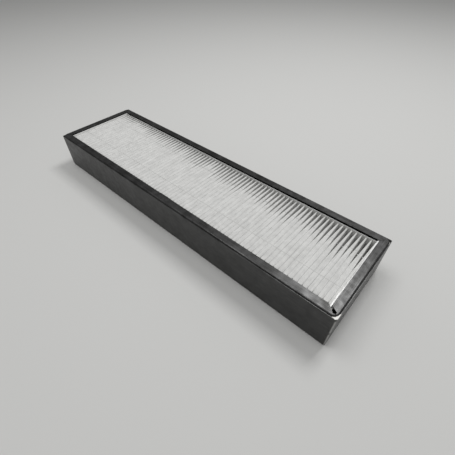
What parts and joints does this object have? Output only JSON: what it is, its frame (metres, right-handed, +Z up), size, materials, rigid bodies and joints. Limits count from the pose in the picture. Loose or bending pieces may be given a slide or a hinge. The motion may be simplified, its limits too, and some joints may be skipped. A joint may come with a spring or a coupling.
{
  "type": "dust filter",
  "caption": "Long flat panel filter: a pleated medium, folded across its length, in a casing of dark folded sheet with a mitred flange round the open face.",
  "frame": {"origin": "middle of the footprint, on the surface that the filter stands on", "axes": "+X along the filter towards the end with the open mitre, +Y across it from the front to the rear, +Z up out of the framed face"},
  "size_m": [0.45, 0.118, 0.05],
  "materials": {
    "folded_sheet": "satin dark grey coating on thin folded steel sheet",
    "filter_media": "matt white nonwoven, paper-like and slightly fibrous",
    "pack_edging": "matt white stiff nonwoven band",
    "hot_melt": "translucent white hot-melt glue, slightly glossy",
    "sealant": "white cured sealant, smooth and slightly glossy"
  },
  "bodies": {
    "root": {"casing": "folded_sheet", "top_frame": "folded_sheet", "pleated_media": "filter_media", "front_side_band": "pack_edging", "rear_side_band": "pack_edging", "left_end_strip": "pack_edging", "right_end_strip": "pack_edging", "top_bead_front": "hot_melt", "top_bead_rear": "hot_melt", "bottom_bead_front": "hot_melt", "bottom_bead_rear": "hot_melt", "sealant_bed": "sealant", "corner_sealant_near": "sealant", "corner_sealant_left": "sealant", "corner_sealant_far": "sealant", "corner_sealant_rear_left": "sealant"}
  },
  "joints": []
}
